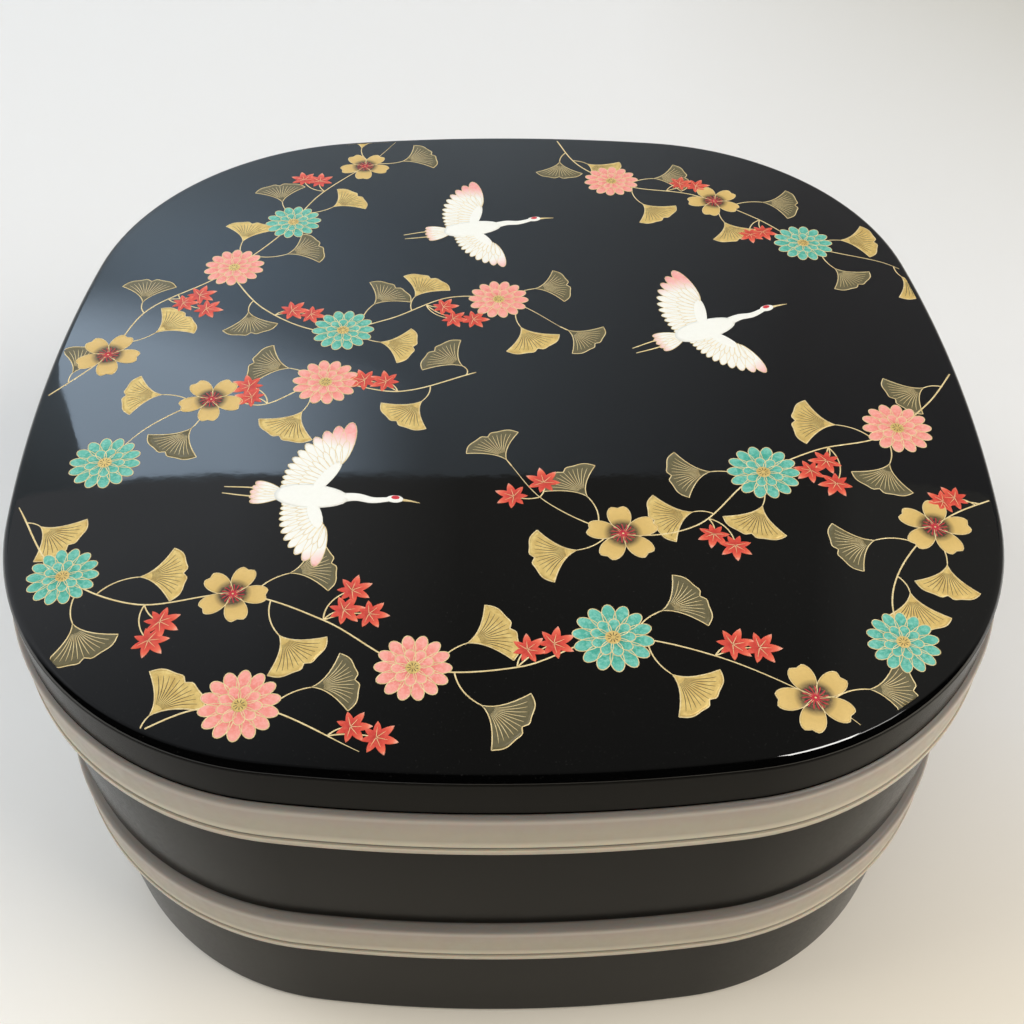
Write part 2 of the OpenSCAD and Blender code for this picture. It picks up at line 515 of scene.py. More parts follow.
@dataclass(frozen=True)
class SatinLacquer:
    """Black lacquer rubbed to a satin, with a fine grain and soft lighter clouds."""

    name: str = "satin_black"
    colour: Colour = (0.0020, 0.0019, 0.0014)
    worn: Colour = (0.0034, 0.0033, 0.0025)
    roughness: float = 0.22
    glint: float = 0.055

    def build(self) -> bpy.types.Material:
        """The material."""
        s = Shader(self.name)
        clouds = s.ranged(s.noise(38, 4, 0.6), 0.35, 0.7, 0, 1)
        s.join(s.mix(clouds, self.colour, self.worn), s.surface.inputs["Base Color"])
        s.join(s.ranged(s.noise(900, 3, 0.6), 0.3, 0.7, self.roughness - 0.03, self.roughness + 0.03),
               s.surface.inputs["Roughness"])
        s.set(IOR=1.45, Specular_IOR_Level=self.glint)
        s.bump(s.noise(3800, 2, 0.6), 0.06, 0.00003)
        return s.material


@dataclass(frozen=True)
class MilkyResin:
    """Pliable milky resin, half see-through, with a waxy sheen and faint flow lines. Its colour runs by height: painted
    shade on the ledge and in the groove, painted highlights on the shoulder's corner and on the groove's edges, and the
    upper skirt a little darker and pinker than the lower.
    """

    name: str = "milky_seal"
    panel: Colour = (0.44, 0.39, 0.325)
    # painted shade: the ledge is darker where the lid or tier above shades it
    ledge: Colour = (0.205, 0.182, 0.16)
    # painted highlight: a pale line on the shoulder's corner
    shoulder_highlight: Colour = (0.42, 0.375, 0.32)
    upper: Colour = (0.345, 0.283, 0.238)
    lower: Colour = (0.365, 0.318, 0.245)
    # painted shade: the groove is painted near black
    groove_shade: Colour = (0.10, 0.083, 0.062)
    # painted highlight: the lip colour is the lighter band on each edge of the groove
    lip: Colour = (0.54, 0.485, 0.37)

    def build(self) -> bpy.types.Material:
        """The material."""
        s = Shader(self.name)
        # colour by height: painted shade on the ledge and in the groove, painted highlights on the shoulder's corner
        # and on the groove's edges
        down = s.ranged(s.attribute("level"), -11.4, 2.6, 1, 0)
        tone = s.ramp(down, [(0.0, self.panel), (0.16, self.panel), (0.185, self.ledge), (0.20, self.ledge),
                             (0.235, self.shoulder_highlight), (0.30, self.upper), (0.52, self.lower), (0.70, self.lower), (0.80, self.lip),
                             (0.846, self.lip), (0.862, self.groove_shade), (0.876, self.groove_shade), (0.89, self.lip), (1.0, self.lower)])
        clouds = s.ranged(s.noise(60, 4, 0.55), 0.3, 0.7, 0, 0.16)
        s.join(s.mix(clouds, tone, self.panel), s.surface.inputs["Base Color"])
        s.join(s.ranged(s.noise(500, 3), 0.3, 0.7, 0.34, 0.46), s.surface.inputs["Roughness"])
        s.set(Subsurface_Weight=0.35, Subsurface_Scale=0.0016, IOR=1.5)
        s.bump(s.noise(420, 3, 0.6), 0.15, 0.00012)
        return s.material


@dataclass(frozen=True)
class GoldPowder:
    """Pale gold powder in lacquer: matt, grainy and faintly sparkling."""

    name: str = "gold_powder"
    colour: Colour = (0.78, 0.57, 0.20)
    deep: Colour = (0.58, 0.385, 0.11)
    metallic: float = 0.3

    def build(self) -> bpy.types.Material:
        """The material."""
        s = Shader(self.name)
        cloud = s.ranged(s.noise(700, 4, 0.65), 0.32, 0.66, 0, 1)
        s.join(s.mix(cloud, self.deep, self.colour), s.surface.inputs["Base Color"])
        s.join(s.ranged(s.noise(5200, 2, 0.6), 0.35, 0.65, 0.32, 0.55), s.surface.inputs["Roughness"])
        s.set(Metallic=self.metallic)
        s.bump(s.noise(5200, 2, 0.6), 0.25, 0.00003)
        return s.material


@dataclass(frozen=True)
class Paint:
    """Opaque lacquer paint, brushed from one colour at the root to another at the tip."""

    name: str
    stops: tuple[tuple[float, Colour], ...]
    streak: Colour
    strength: float = 0.45
    roughness: float = 0.42

    def build(self) -> bpy.types.Material:
        """The material."""
        s = Shader(self.name)
        colour = s.ramp(s.attribute("fade"), list(self.stops))
        brush = s.ranged(s.noise(1500, 4, 0.75), 0.44, 0.64, 0, self.strength)
        s.join(s.mix(brush, colour, self.streak), s.surface.inputs["Base Color"])
        s.join(s.ranged(s.noise(1600, 2), 0.3, 0.7, self.roughness - 0.08, self.roughness + 0.1),
               s.surface.inputs["Roughness"])
        s.bump(s.noise(1500, 3, 0.6), 0.3, 0.00003)
        return s.material


# ---------------------------------------------------------------- the pieces


@dataclass(frozen=True)
class Stack:
    """Heights that the pieces share."""

    tier_h: float = 43.7 * MM
    seal_skin: float = 0.9 * MM

    @property
    def lower_ledge(self) -> float:
        """Height of the lower seal lid's ledge, on which the upper tier stands."""
        return self.tier_h + self.seal_skin

    @property
    def upper_ledge(self) -> float:
        """Height of the upper seal lid's ledge, on which the outer lid sits."""
        return 2 * self.lower_ledge


@dataclass
class Tier:
    """A tier: wall, cove, floor and foot, one moulding. Lengths are in millimetres."""

    outline: BowedOutline
    height: float = 43.7
    wall: float = 2.2
    draft: float = 0.8
    cavity_draft: float = 1.4
    floor_z: float = 5.6
    foot_h: float = 3.4
    foot_wall: float = 2.4
    foot_edge: float = 1.2
    rim_edge: float = 0.7
    rim_land: float = 6.25
    cove: float = 6.0

    def section(self) -> Array:
        """The cross-section from the middle of the floor out over the rim and back under the foot."""
        axis = -self.outline.half_width / MM
        foot_in = -self.draft - self.foot_wall
        corners = [
            (axis, self.floor_z, 0), (-self.wall - self.cavity_draft, self.floor_z, self.cove),
            (-self.wall, self.height - self.rim_land, 0.6), (-self.wall, self.height, self.rim_edge),
            (0, self.height, self.rim_edge), (-self.draft, 0, self.foot_edge), (foot_in, 0, 0.3),
            (foot_in, self.foot_h, 0.5), (axis, self.foot_h, 0),
        ]
        return with_spans(rounded_path(corners), 7 * MM)

    def build(self, name: str, body: str, base: float, finish: bpy.types.Material) -> bpy.types.Object:
        """Builds one tier in place of its CAD node.

        Args:
            name: The CAD node's name.
            body: The body that it rides on.
            base: Height of the edge it stands on.
            finish: Its material.

        Returns:
            The finished piece.
        """
        piece = carried_shell(self.outline, self.section(), base).to_object(name + "_shell", [finish])
        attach(piece, body)
        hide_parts(name)
        return piece


@dataclass
class SealLid:
    """A seal lid: panel, ledge, skirt with a rolled lip, channel and plug, one moulding. Lengths are in millimetres."""

    outline: BowedOutline
    skin: float = 0.9
    gap: float = 0.15
    tier_wall: float = 2.2
    skirt_h: float = 11.4
    shoulder: float = 1.1
    lip_h: float = 1.6
    lip_out: float = 0.3
    groove_w: float = 0.5
    groove_depth: float = 0.3
    plug_depth: float = 7.0
    plug_lead: float = 0.4
    panel_h: float = 2.6
    panel_edge: float = 1.0
    panel_face: float = -3.55

    def section(self) -> Array:
        """The cross-section from the middle of the panel out over the ledge and skirt and back under the panel."""
        axis = -self.outline.half_width / MM
        skirt, lip_top = self.gap + self.skin, self.lip_h - self.skirt_h
        plug = -self.tier_wall - self.gap
        inner = self.panel_face - self.skin
        corners = [
            (axis, self.panel_h, 0), (self.panel_face, self.panel_h, self.panel_edge), (self.panel_face, 0, 0.25),
            (skirt, 0, self.shoulder), (skirt, lip_top + self.groove_w, 0.1),
            (skirt - self.groove_depth, lip_top + self.groove_w / 2, 0.08), (skirt, lip_top, 0.06),
            (skirt + self.lip_out, lip_top, 0.15), (skirt + self.lip_out, -self.skirt_h, 0.3),
            (self.gap, -self.skirt_h, 0.2), (self.gap, -self.skin, 0.2), (plug, -self.skin, 0.2),
            (plug, 2 * self.plug_lead - self.plug_depth, 0.3), (plug - self.plug_lead, -self.plug_depth, 0.15),
            (plug - self.skin, -self.plug_depth, 0.15), (plug - self.skin, -self.skin, 0.2), (inner, -self.skin, 0.2),
            (inner, self.panel_h - self.skin, 0.3), (axis, self.panel_h - self.skin, 0),
        ]
        return with_spans(rounded_path(corners), 7 * MM)

    def build(self, name: str, body: str, ledge: float, finish: bpy.types.Material) -> bpy.types.Object:
        """Builds one seal lid in place of its CAD node.

        Args:
            name: The CAD node's name.
            body: The body that it rides on.
            ledge: Height of its ledge.
            finish: Its material.

        Returns:
            The finished piece.
        """
        piece = carried_shell(self.outline, self.section(), ledge).to_object(name + "_shell", [finish])
        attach(piece, body)
        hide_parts(name)
        return piece


@dataclass
class OuterLid:
    """The outer lid: crowned gloss top and shoulder over a satin side, with a painted shade line along its foot.
    Lengths are in millimetres.
    """

    outline: BowedOutline
    base: float
    side_h: float = 10.2
    wall: float = 2.6
    draft: float = 0.4
    top: float = 2.4
    shoulder: float = 1.7
    crown_h: float = 1.0
    crown_w: float = 42.0
    edge: float = 0.5
    cove: float = 2.5
    # height of the painted shade line along the lid's lower edge
    shade_line_h: float = 0.8
    gloss_tilt: float = math.radians(64)
    paint_room: float = 0.12

    def crown(self, depth: Array) -> Array:
        """Rise above the shoulder at a depth in millimetres: crown_h (1 - left^2), left being the share still to go."""
        start = self.draft + self.shoulder
        left = np.clip((self.crown_w - depth) / (self.crown_w - start), 0, 1)
        return (self.crown_h - self.paint_room) * (1 - left**2)

    def height_at(self, points: Array) -> Array:
        """Height of the lid's top in metres over points of the plan, given in metres."""
        depth = self.outline.depth(points) / MM
        return self.base + (self.side_h + self.crown(depth)) * MM

    def section(self) -> tuple[Array, Array]:
        """The cross-section from the top's middle over the shoulder, round the lower edge and back underneath.

        Returns:
            The line, and each span's slot: 0 gloss, 1 satin from where the shoulder tilts past gloss_tilt, 2 painted
            shade line on the lower edge, a matt near-black that stands for the shadow of the gap over the ledge.
        """
        axis = -self.outline.half_width / MM
        depths = np.linspace(self.crown_w, self.draft + self.shoulder, 22)
        crown = np.stack([-depths, self.side_h + self.crown(depths)], axis=1) * MM
        shoulder = rounded_path([(-6, self.side_h, 0), (-self.draft, self.side_h, self.shoulder),
                                 (-self.draft * self.shade_line_h / self.side_h, self.shade_line_h, 0),
                                 (0, 0, self.edge), (-self.wall, 0, self.edge),
                                 (-self.wall - self.draft, self.side_h - self.top + 0.3, self.cove),
                                 (-9, self.side_h - self.top + 0.35, 0)], 8)[1:-1]
        under = np.linspace(9, self.crown_w, 16)
        below = np.stack([-under, self.side_h + self.crown(under) - self.top], axis=1) * MM
        middle = np.linspace(axis, -self.crown_w - 1, 8)
        flat_top = np.stack([middle, np.full(8, self.side_h + self.crown(np.array(99.0)))], axis=1) * MM
        flat_below = flat_top[::-1] - np.array([0, self.top * MM])
        line = np.vstack([flat_top, crown[:-1], shoulder, below, flat_below])
        falls = np.diff(line[:, 1]) < -np.abs(np.diff(line[:, 0])) * math.tan(self.gloss_tilt)
        slots = (np.arange(len(falls)) >= np.argmax(falls)).astype(int)
        middle_up = (line[:-1, 1] + line[1:, 1]) / 2
        # painted shade: the spans of the outer lower edge get the near-black matt slot, for the shadow in the gap over
        # the ledge
        slots[(middle_up < self.shade_line_h * MM) & (line[1:, 0] > -self.wall * MM)] = 2
        return line, slots

    def build(self, name: str, body: str, finishes: list[bpy.types.Material]) -> bpy.types.Object:
        """Builds the lid in place of its CAD node.

        Args:
            name: The CAD node's name.
            body: The body that it rides on.
            finishes: The gloss, the satin and the painted shade line's material.

        Returns:
            The finished piece.
        """
        line, slots = self.section()
        piece = carried_shell(self.outline, line, self.base, slots).to_object(name + "_shell", finishes)
        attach(piece, body)
        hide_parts(name)
        return piece


# ---------------------------------------------------------------- the painting on the lid


class Layer(Enum):
    """The finishes of the painting, in the order in which they are laid."""

    THIN_GOLD = "thin_gold"
    GOLD = "gold"
    CORAL = "coral"
    TEAL = "teal"
    CHERRY = "cherry_gold"
    VERMILION = "vermilion"
    IVORY = "ivory"
    GOLD_LINE = "gold_line"
    FEATHER_LINE = "feather_line"
    DARK_LINE = "dark_line"
    CRIMSON = "crimson"


class Growth(Enum):
    """What grows at a place of a spray."""

    CORAL = "coral chrysanthemum"
    TEAL = "teal chrysanthemum"
    CHERRY = "gold cherry blossom"
    GINKGO = "gold ginkgo leaf"
    THIN_GINKGO = "thinly dusted ginkgo leaf"
    MAPLE = "vermilion maple leaf"


@dataclass
class Spots:
    """Places on the lid in millimetres, each with a turn in radians and a size as a factor."""

    place: Array
    turn: Array
    size: Array

    def spread(self, flat: Array) -> Array:
        """Copies a drawing to every spot: turned, scaled and moved, with the spots on a new first axis."""
        c, s = np.cos(self.turn), np.sin(self.turn)
        turn = np.stack([np.stack([c, s], -1), np.stack([-s, c], -1)], -2) * self.size[:, None, None]
        far = (1,) * (flat.ndim - 1)
        return np.tensordot(flat, turn, axes=([-1], [1])).transpose(flat.ndim - 1, *range(flat.ndim - 1), flat.ndim) \
            + self.place.reshape(-1, *far, 2)


HERE = Spots(np.zeros((1, 2)), np.zeros(1), np.ones(1))


def petal(length: float, width: float, waist: float, notch: float = 0.0, steps: int = 20) -> Array:
    """Outline of a petal or feather from its root at (0, 0) along +x, counterclockwise.

    x = length (1 - cos a) / 2, less a notch near the tip; y = -width cos(a / 2) sin(a / 2)^(1 + waist), a going once
    round.

    Args:
        length: From root to tip.
        width: Across.
        waist: 0 for an ellipse, more for a narrower root, and less for a fuller one, over -1.
        notch: How deep the tip is nicked.
        steps: Points round the outline.

    Returns:
        The points as rows.
    """
    a = np.linspace(0, 2 * math.pi, steps, endpoint=False)
    x = length * (1 - np.cos(a)) / 2 - notch * np.exp(-(((a - math.pi) / 0.32) ** 2))
    return np.stack([x, -width * np.cos(a / 2) * np.sin(a / 2) ** (1 + waist)], axis=1)


def fanned(flat: Array, turns: Array, roots: Array) -> Array:
    """Copies a drawing round: turned by each angle and moved to each root, with the copies on the first axis."""
    return Spots(np.broadcast_to(roots, (len(turns), 2)), turns, np.ones(len(turns))).spread(flat)


def smooth_path(knots: Array, steps: int) -> Array:
    """A curve through all the knots, with evenly spaced points.

    Between two knots it is the cubic whose slope at each knot is half the step between that knot's neighbours.

    Args:
        knots: The knots as rows.
        steps: How many points the curve gets.

    Returns:
        The curve's points as rows.
    """
    k = np.vstack([2 * knots[0] - knots[1], knots, 2 * knots[-1] - knots[-2]])
    u = np.linspace(0, len(knots) - 1, 40 * len(knots))
    i = np.minimum(u.astype(int), len(knots) - 2)
    t = (u - i)[:, None]
    p0, p1, p2, p3 = k[i], k[i + 1], k[i + 2], k[i + 3]
    fine = 0.5 * (2 * p1 + (p2 - p0) * t + (2 * p0 - 5 * p1 + 4 * p2 - p3) * t**2 + (3 * p1 - p0 - 3 * p2 + p3) * t**3)
    run = np.concatenate([[0], np.cumsum(np.linalg.norm(np.diff(fine, axis=0), axis=1))])
    at = np.linspace(0, run[-1], steps)
    return np.stack([np.interp(at, run, fine[:, 0]), np.interp(at, run, fine[:, 1])], axis=1)


@dataclass(frozen=True)
class Spray:
    """A stem through its knots, and what grows on it as (share along it, side angle in degrees, stalk, growth)."""

    knots: tuple[tuple[float, float], ...]
    growths: tuple[tuple[float, float, float, Growth], ...]


@dataclass
class LidDesign:
    """Raised lacquer painting on the lid's top: chrysanthemums, cherry blossoms, ginkgo, maple and cranes.

    Flat lengths are in millimetres. Everything is a low closed form that stands at most 0.11 mm over the lid.
    """

    lid: OuterLid
    sink: float = 0.05
    layers: dict[Layer, list[Surface]] = field(default_factory=dict)
    chance: np.random.Generator = field(default_factory=lambda: np.random.default_rng(7))

    def lifted(self, flat: Array, rise: Array) -> Array:
        """Points of the plan in millimetres, set at the lid's height plus a rise in millimetres, as metres."""
        xy = self.lid.outline.held_in(flat * MM, (self.lid.draft + self.lid.shoulder + 0.1) * MM)
        rise = np.broadcast_to(rise, flat.shape[:-1])
        return np.concatenate([xy, (self.lid.height_at(xy) + rise * MM)[..., None]], axis=-1)

    def dome(self, layer: Layer, outlines: Array, middles: Array, spots: Spots, rise: float, level: float = 0.0,
             reach: float = 7.0) -> None:
        """Lays low domes over closed outlines, each closed underneath.

        Ring j of an outline is middle + f (outline - middle), with f from 0.3 to 1, at height level + rise (1 - f^4);
        the last ring and a vertex under the middle lie below the lid's skin. The attribute fade is the distance from
        the drawing's own origin over its reach, and tone is one random number for each dome.

        Args:
            layer: The layer they belong to.
            outlines: Outlines in the drawing's own axes, as (piece, step, 2), counterclockwise.
            middles: The point inside each outline, as (piece, 2).
            spots: Where the drawing is repeated.
            rise: Height of the dome over its edge.
            level: Height of its edge over the lid.
            reach: Distance at which fade is 1.
        """
        f = np.array([0.3, 0.6, 0.85, 1.0, 1.0])
        height = level + rise * (1 - f**4)
        height[-1] = -self.sink
        p, t, r = *outlines.shape[:2], len(f)
        rings = middles[:, None, None] + f[:, None, None] * (outlines - middles[:, None])[:, None]
        flat = np.concatenate([rings.reshape(p, r * t, 2), middles[:, None], middles[:, None]], axis=1)
        up = np.concatenate([np.repeat(height, t), [level + rise, -self.sink]])
        many = len(spots.turn) * p
        points = self.lifted(spots.spread(flat), up).reshape(many, -1, 3)
        ring, step = np.meshgrid(np.arange(r - 1), np.arange(t), indexing="ij")
        after = (step + 1) % t
        quads = np.stack([ring * t + step, (ring + 1) * t + step, (ring + 1) * t + after, ring * t + after], -1)
        step, after = np.arange(t), (np.arange(t) + 1) % t
        top = np.stack([np.full(t, r * t), step, after], -1)
        base = np.stack([np.full(t, r * t + 1), (r - 1) * t + after, (r - 1) * t + step], -1)
        start = (np.arange(many) * (r * t + 2))[:, None, None]
        tone = np.repeat(self.chance.random(many), r * t + 2)
        fade = np.tile(np.linalg.norm(flat, axis=-1).ravel() / reach, len(spots.turn))
        self.layers.setdefault(layer, []).append(Surface(
            points.reshape(-1, 3), (quads.reshape(-1, 4) + start).reshape(-1, 4),
            (np.concatenate([top, base]) + start).reshape(-1, 3), values={"fade": fade, "tone": tone}))

    def line(self, layer: Layer, paths: Array, widths: Array, spots: Spots, rise: float, level: float = 0.0) -> None:
        """Lays raised lines with rounded backs, closed at both ends.

        Each path point gets five points across, at -1, -0.7, 0, 0.7 and 1 half widths to its left, the outer two below
        the lid's skin and the others at 0.75, 1 and 0.75 of the rise.

        Args:
            layer: The layer they belong to.
            paths: Middle lines in the drawing's own axes, as (piece, step, 2).
            widths: Full widths, of a shape that goes with (piece, step).
            spots: Where the drawing is repeated.
            rise: Height of the line's back.
            level: Height from which the rise counts.
        """
        p, t = paths.shape[:2]
        along = np.gradient(paths, axis=1)
        along /= np.maximum(np.linalg.norm(along, axis=-1, keepdims=True), 1e-9)
        left = np.stack([-along[..., 1], along[..., 0]], -1)
        half = np.broadcast_to(widths, (p, t))[..., None, None] / 2
        across = np.array([-1, -0.7, 0, 0.7, 1])[:, None]
        flat = paths[:, :, None] + left[:, :, None] * half * across
        flat = np.concatenate([flat.reshape(p, t * 5, 2), paths[:, [0, -1]]], axis=1)
        up = level + rise * np.array([0, 0.75, 1, 0.75, 0])
        up[[0, 4]] = -self.sink
        up = np.concatenate([np.tile(up, t), [0, 0]])
        many = len(spots.turn) * p
        points = self.lifted(spots.spread(flat), up).reshape(many, -1, 3)
        i, j = np.meshgrid(np.arange(t - 1), np.arange(5), indexing="ij")
        k = (j + 1) % 5
        quads = np.stack([i * 5 + j, (i + 1) * 5 + j, (i + 1) * 5 + k, i * 5 + k], -1)
        j, k = np.arange(5), (np.arange(5) + 1) % 5
        first = np.stack([np.full(5, t * 5), j, k], -1)
        last = np.stack([np.full(5, t * 5 + 1), (t - 1) * 5 + k, (t - 1) * 5 + j], -1)
        start = (np.arange(many) * (t * 5 + 2))[:, None, None]
        tone = np.repeat(self.chance.random(many), t * 5 + 2)
        self.layers.setdefault(layer, []).append(Surface(
            points.reshape(-1, 3), (quads.reshape(-1, 4) + start).reshape(-1, 4),
            (np.concatenate([first, last]) + start).reshape(-1, 3), values={"fade": np.full(len(tone), 0.4), "tone": tone}))

    def edged(self, outlines: Array, width: float, spots: Spots, level: float, layer: Layer = Layer.GOLD_LINE) -> None:
        """Draws a line round each outline."""
        closed = np.concatenate([outlines, outlines[:, :1]], axis=1)
        self.line(layer, closed, np.array(width), spots, 0.02, level)

    def chrysanthemums(self, layer: Layer, spots: Spots) -> None:
        """Two rings of painted petals with gold edges, and a gold middle with dark stamens."""
        for count, length, width, root, level in ((14, 5.5, 2.75, 1.3, 0.03), (9, 3.3, 2.3, 0.5, 0.05)):
            turns = 2 * math.pi * (np.arange(count) + level * 20) / count
            roots = root * np.stack([np.cos(turns), np.sin(turns)], -1)
            petals = fanned(petal(length, width, 0.55), turns, roots)
            middles = fanned(np.array([[0.6 * length, 0]]), turns, roots)[:, 0]
            self.dome(layer, petals, middles, spots, 0.02, level, root + length)
            self.edged(petals, 0.2, spots, level + 0.01)
        disc = petal(2.7, 2.7, 0)[None] - np.array([1.35, 0])
        self.dome(Layer.GOLD, disc, np.zeros((1, 2)), spots, 0.03, 0.07)
        turns = np.linspace(0, 2 * math.pi, 9, endpoint=False)
        stamen = fanned(np.stack([np.linspace(0.35, 1.0, 4), np.zeros(4)], -1), turns, np.zeros(2))
        self.line(Layer.DARK_LINE, stamen, np.array([0.1, 0.14, 0.2, 0.1]), spots, 0.008, 0.1)

    def cherry_blossoms(self, spots: Spots) -> None:
        """Five notched gold petals, dark towards the middle, with crimson threads."""
        turns = 2 * math.pi * np.arange(5) / 5
        petals = fanned(petal(7.0, 5.3, 0.75, 0.8, 28), turns, np.zeros(2))
        middles = fanned(np.array([[4.0, 0]]), turns, np.zeros(2))[:, 0]
        self.dome(Layer.CHERRY, petals, middles, spots, 0.025, 0.03)
        self.edged(petals, 0.17, spots, 0.04)
        turns = 2 * math.pi * (np.arange(15) + 0.3) / 15
        reach = np.linspace(0.2, 2.2, 6)
        thread = fanned(np.stack([reach, 0.12 * reach**2], -1), turns, np.zeros(2))
        self.line(Layer.CRIMSON, thread, np.array([0.42, 0.34, 0.26, 0.2, 0.34, 0.2]), spots, 0.02, 0.06)

    def ginkgo_leaves(self, layer: Layer, veins: Layer, spots: Spots) -> None:
        """Notched fans with bowed sides, an edge line and ribs.

        The fan's edge is 8.6 mm (1 - 0.12 e^-(angle / 0.09)^2 + 0.02 cos(11 angle)) from the root; each side is a curve
        from the edge's end to the root, pulled towards the leaf's middle.
        """
        length, spread = 8.6, math.radians(47)
        angle = np.linspace(-spread, spread, 31)
        reach = length * (1 - 0.12 * np.exp(-((angle / 0.09) ** 2)) + 0.02 * np.cos(11 * angle))
        edge = np.stack([reach * np.cos(angle), reach * np.sin(angle)], -1)
        s = np.linspace(0, 1, 8)[1:, None]
        bend = np.array([0.36 * length, 0.09 * length])
        side = (1 - s) ** 2 * edge[-1] + 2 * s * (1 - s) * bend
        outline = np.vstack([edge, side, (side * [1, -1])[-2::-1]])[None]
        self.dome(layer, outline, np.array([[0.6 * length, 0]]), spots, 0.015, 0.0, length)
        self.edged(outline, 0.26, spots, 0.005)
        ribs = np.linspace(-0.84, 0.84, 11)[:, None] * spread
        run = np.linspace(0.26, 0.88, 9)
        bow = ribs * run**0.55
        paths = length * run[:, None] * np.stack([np.cos(bow), np.sin(bow)], -1)
        self.line(veins, paths, np.array([0.05, 0.09, 0.13, 0.15, 0.16, 0.15, 0.14, 0.12, 0.07]), spots, 0.01, 0.015)

    def maple_leaves(self, spots: Spots) -> None:
        """Small leaves of seven points: reach R (0.5 + 0.5 wave^1.15) (0.84 + 0.16 cos angle), the wave being triangular."""
        angle = np.linspace(0, 2 * math.pi, 56, endpoint=False)
        wave = 1 - 2 * np.abs((angle * 7 / (2 * math.pi) + 0.5) % 1 - 0.5)
        reach = 3.9 * (0.5 + 0.5 * wave**1.15) * (0.84 + 0.16 * np.cos(angle))
        outline = np.stack([reach * np.cos(angle), reach * np.sin(angle)], -1)[None]
        self.dome(Layer.VERMILION, outline, np.zeros((1, 2)), spots, 0.03, 0.03, 3.9)
        veins = fanned(np.stack([np.linspace(0.1, 2.0, 5), np.zeros(5)], -1), 2 * math.pi * np.arange(-2, 3) / 7, np.zeros(2))
        self.line(Layer.GOLD_LINE, veins, np.array([0.18, 0.16, 0.14, 0.1, 0.05]), spots, 0.01, 0.055)

    def cranes(self, spots: Spots) -> None:
        """White cranes in flight, neck ahead and legs behind, their feathers flushed coral at the tips."""
        for side, squash in ((1, 1.0), (-1, 0.82)):
            s = np.linspace(0.04, 1, 13)
            for level, share, width in ((0.03, 1.0, 2.3), (0.045, 0.55, 2.0)):
                root = np.stack([0.6 + 3.2 * s, (1.0 + 6.2 * s) * side * squash], -1)
                turn = side * (math.radians(186) - math.radians(96) * s**1.5)
                size = share * (5.2 + 4.4 * s**1.1) * squash
                feather = petal(1.0, width / 8, 0.35)
                mine = Spots(root, turn, size).spread(feather)
                middle = Spots(root, turn, size).spread(np.array([[0.55, 0]]))[:, 0]
                self.dome(Layer.IVORY, mine, middle, spots, 0.02, level, 15.5)
                self.edged(mine, 0.11, spots, level + 0.005, Layer.FEATHER_LINE)
            arm = Spots(np.array([[0.4, 0.6 * side]]), np.array([side * math.radians(66)]), np.ones(1))
            self.dome(Layer.IVORY, arm.spread(petal(7.6 * squash + 0.4, 2.2, 0)), arm.spread(np.array([[3.4, 0]]))[:, 0],
                      spots, 0.02, 0.06, 15.5)
        tail = np.radians([158, 169, 180, 191, 202])
        feathers = fanned(petal(5.6, 1.9, 0.4), tail, np.array([-3.4, 0]))
        self.dome(Layer.IVORY, feathers, fanned(np.array([[3.0, 0]]), tail, np.array([-3.4, 0]))[:, 0], spots, 0.02, 0.03, 10)
        self.edged(feathers, 0.11, spots, 0.035, Layer.FEATHER_LINE)
        body = petal(11.5, 4.6, -0.15, 0, 26)[None] + np.array([-5.2, 0])
        self.dome(Layer.IVORY, body, np.array([[0.5, 0]]), spots, 0.025, 0.065, 15.5)
        neck = smooth_path(np.array([[4.4, 0], [7.4, 0.5], [10, 0.1], [12.8, 0.6]]), 16)
        self.line(Layer.IVORY, neck[None], np.linspace(2.3, 1.0, 16), spots, 0.045, 0.03)
        head = petal(2.6, 1.5, 0.0)[None] + np.array([12.0, 0.65])
        self.dome(Layer.IVORY, head, np.array([[13.2, 0.65]]), spots, 0.025, 0.065, 40)
        crown = petal(1.3, 0.8, 0.0, 0, 12)[None] + np.array([12.7, 0.95])
        self.dome(Layer.CRIMSON, crown, np.array([[13.3, 0.95]]), spots, 0.015, 0.09, 7)
        beak = smooth_path(np.array([[14.2, 0.6], [15.6, 0.5], [17.2, 0.2]]), 8)
        self.line(Layer.GOLD_LINE, beak[None], np.linspace(0.7, 0.1, 8), spots, 0.06)
        legs = np.stack([smooth_path(np.array([[-5, y], [-9, y * 1.6], [-13.2, y * 1.2]]), 10) for y in (0.55, -0.55)])
        self.line(Layer.GOLD_LINE, legs, np.linspace(0.42, 0.22, 10), spots, 0.04)

